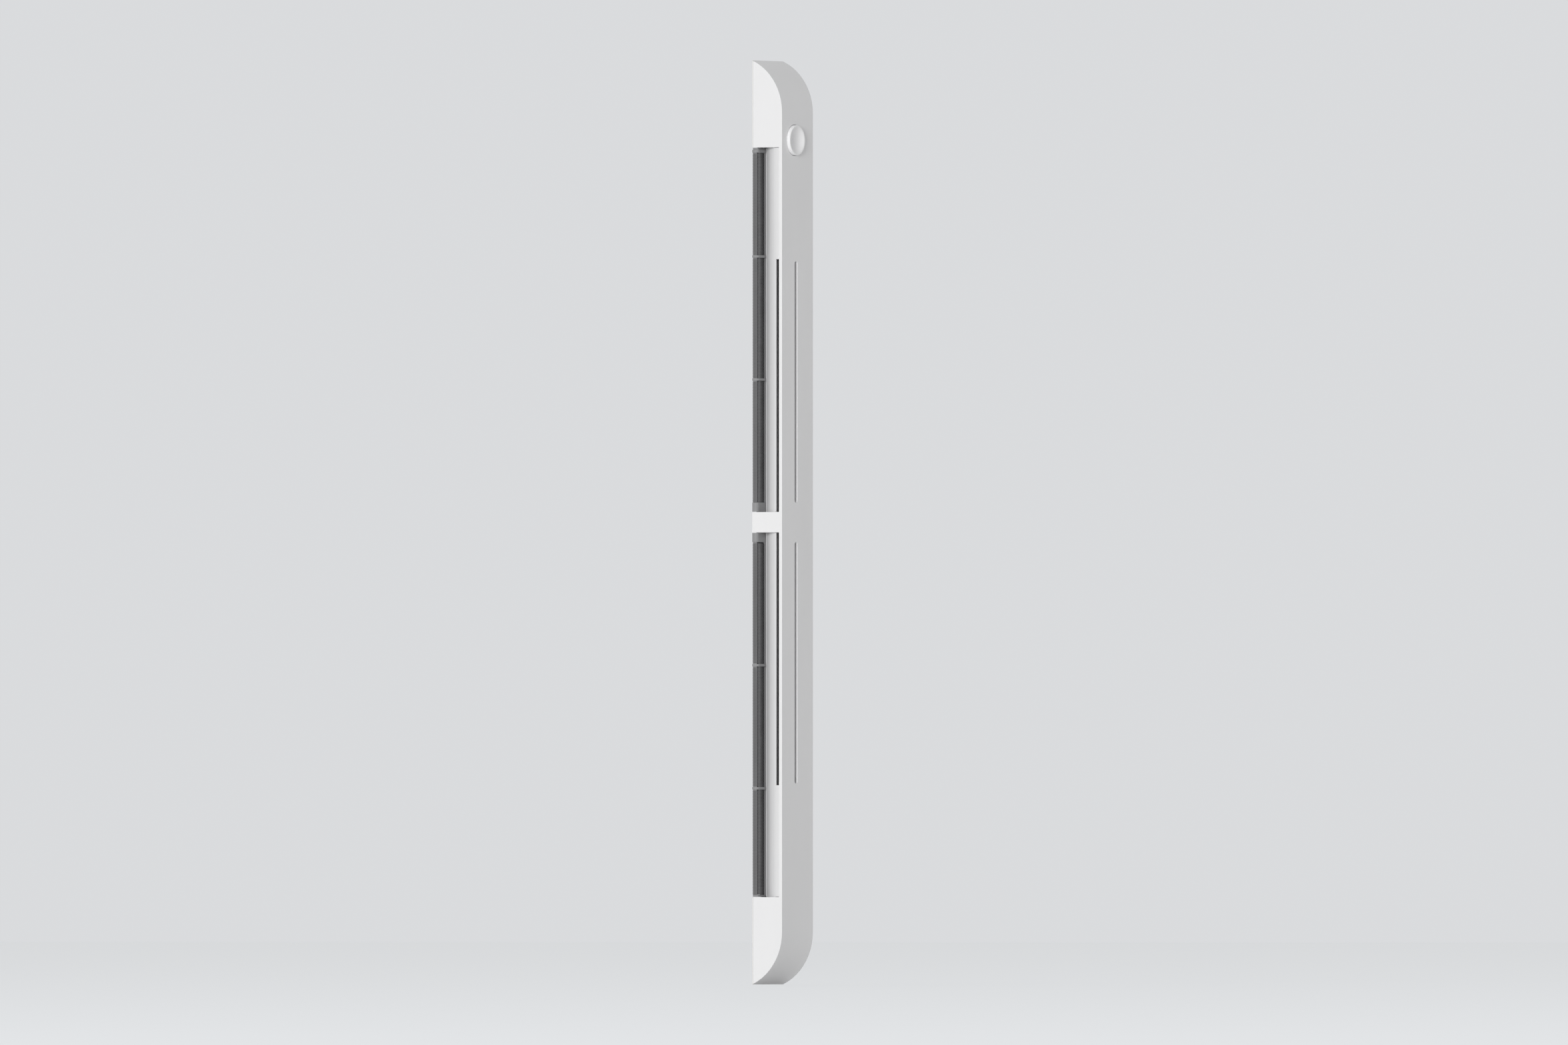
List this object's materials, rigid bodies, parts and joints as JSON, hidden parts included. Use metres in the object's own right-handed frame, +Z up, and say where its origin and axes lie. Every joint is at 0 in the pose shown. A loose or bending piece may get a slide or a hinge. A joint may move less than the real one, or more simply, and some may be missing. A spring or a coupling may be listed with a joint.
{
  "type": "window trickle vent",
  "caption": "Slim upright trickle vent for a window reveal: D-ended cover over a bridged front outlet with air guide, insect screen, sliding shutter and dished push button.",
  "frame": {"origin": "centre of the face that lies on the side wall of the window recess", "axes": "+X out of that wall, +Y from the room towards the window, +Z up"},
  "size_m": [0.0203, 0.032, 0.49],
  "materials": {
    "white_plastic": "satin white moulded plastic",
    "base_plastic": "matt off-white moulded plastic",
    "button_plastic": "smooth satin white plastic",
    "grey_plastic": "matt mid-grey moulded plastic",
    "dark_plastic": "matt dark grey plastic",
    "screen_mesh": "fine dark coated mesh",
    "zinc_steel": "bright zinc plate",
    "spring_steel": "drawn spring steel",
    "foam": "open-cell dark foam",
    "seal_rubber": "closed-cell black sponge rubber"
  },
  "bodies": {
    "housing": {"cover_shell": "white_plastic", "mounting_base": "base_plastic", "air_guide": "white_plastic", "guide_screws": "zinc_steel", "insect_screen_upper": "screen_mesh", "insect_screen_lower": "screen_mesh", "control_cassette": "grey_plastic", "slotted_grid_upper": "dark_plastic", "slotted_grid_lower": "dark_plastic", "return_spring": "spring_steel", "spring_anchor": "base_plastic", "button_spring": "spring_steel", "button_bracket": "base_plastic", "bracket_screws": "zinc_steel", "cover_clips": "spring_steel", "acoustic_foam_upper": "foam", "acoustic_foam_lower": "foam", "wall_seal": "seal_rubber"},
    "button": {"control_button": "button_plastic", "button_stem": "base_plastic"},
    "shutter": {"shutter_strip": "dark_plastic", "shutter_lug": "base_plastic", "lug_rivets": "zinc_steel"},
    "latch": {"latch_wire": "spring_steel"}
  },
  "joints": [
    {"name": "button_press", "type": "slide", "parent": "housing", "child": "button", "axis": [-1, 0, 0], "range_m": [0, 0.003], "stiffness_N_per_m": 400, "springref_m": -0.002, "deforming": ["button_spring"]},
    {"name": "shutter_slide", "type": "slide", "parent": "housing", "child": "shutter", "axis": [0, 0, 1], "range_m": [0, 0.0045], "deforming": ["return_spring"]},
    {"name": "latch_swing", "type": "hinge", "parent": "housing", "child": "latch", "pos_m": [0.0039, 0.0024, 0.2026], "axis": [0, -1, 0], "range_deg": [0, 11]}
  ],
  "couplings": [
    {"joint": "shutter_slide", "follows": "button_press", "ratio": 1.5},
    {"joint": "latch_swing", "follows": "button_press", "rad_per_m": 63.995}
  ]
}
